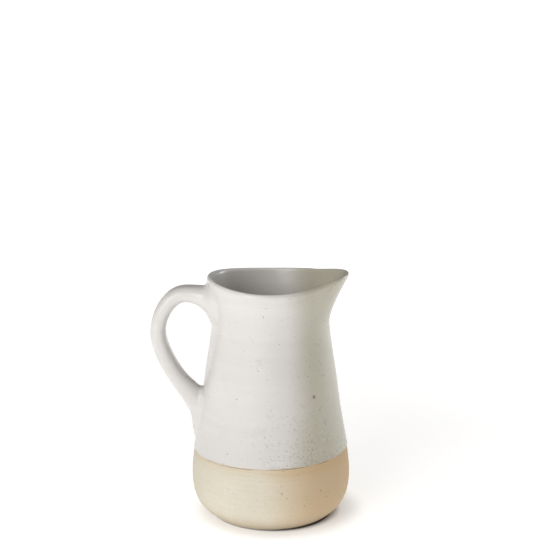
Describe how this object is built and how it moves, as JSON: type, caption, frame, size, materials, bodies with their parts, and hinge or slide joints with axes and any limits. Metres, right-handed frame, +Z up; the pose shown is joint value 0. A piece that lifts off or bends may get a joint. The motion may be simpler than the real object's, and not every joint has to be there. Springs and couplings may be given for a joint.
{
  "type": "ceramic pitcher",
  "caption": "Wheel-thrown stoneware pitcher with a round belly, a narrower neck, a pulled spout, a strap handle and a white glaze over a bare clay foot.",
  "frame": {"origin": "centre of the foot, on the surface that the pitcher stands on", "axes": "+Z up, +X towards the spout, -X towards the handle, +Y across"},
  "size_m": [0.204, 0.1616, 0.253],
  "materials": {
    "bare_clay": "matte, unglazed stoneware",
    "slip": "matte, dried clay slip under the glaze",
    "white_glaze": "satin white glaze with fine iron specks"
  },
  "bodies": {
    "root": {"body": "bare_clay", "handle": "bare_clay", "upper_slip": "slip", "lower_slip": "slip", "outer_glaze": "white_glaze", "inner_glaze": "white_glaze", "handle_glaze": "white_glaze"}
  },
  "joints": []
}
